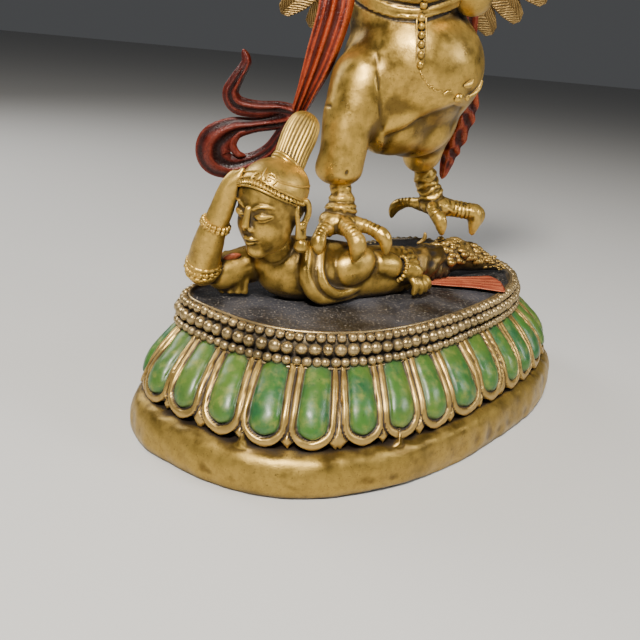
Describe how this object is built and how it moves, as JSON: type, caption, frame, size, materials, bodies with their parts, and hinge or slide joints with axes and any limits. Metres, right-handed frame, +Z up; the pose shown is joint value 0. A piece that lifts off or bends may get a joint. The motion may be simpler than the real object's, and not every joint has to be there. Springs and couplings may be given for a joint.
{
  "type": "garuda statue",
  "caption": "Gilt and painted cast statue of a winged bird-headed guardian standing on a reclining serpent woman, on a D-shaped lotus plinth with beaded rows.",
  "frame": {"origin": "on the plinth's underside, at the middle of its long axis, on the surface it stands on", "axes": "+Z up, the Garuda faces -Y, +X to the Garuda's left hand; the plinth's long axis is turned 43.4 degrees from +X towards +Y, with its rounder side in front"},
  "size_m": [0.1184, 0.1154, 0.1662],
  "materials": {
    "plinth_gilt": "antique gilt, worn, with brown recesses",
    "figure_gilt": "antique gilt, worn, with brown recesses",
    "green_paint": "mottled semi-gloss cold paint",
    "red_paint": "satin cold paint, rubbed on the folds",
    "dark_ground": "dark brown, speckled, satin"
  },
  "bodies": {
    "root": {"lotus_plinth": "plinth_gilt", "garuda_and_serpent": "figure_gilt"}
  },
  "joints": []
}
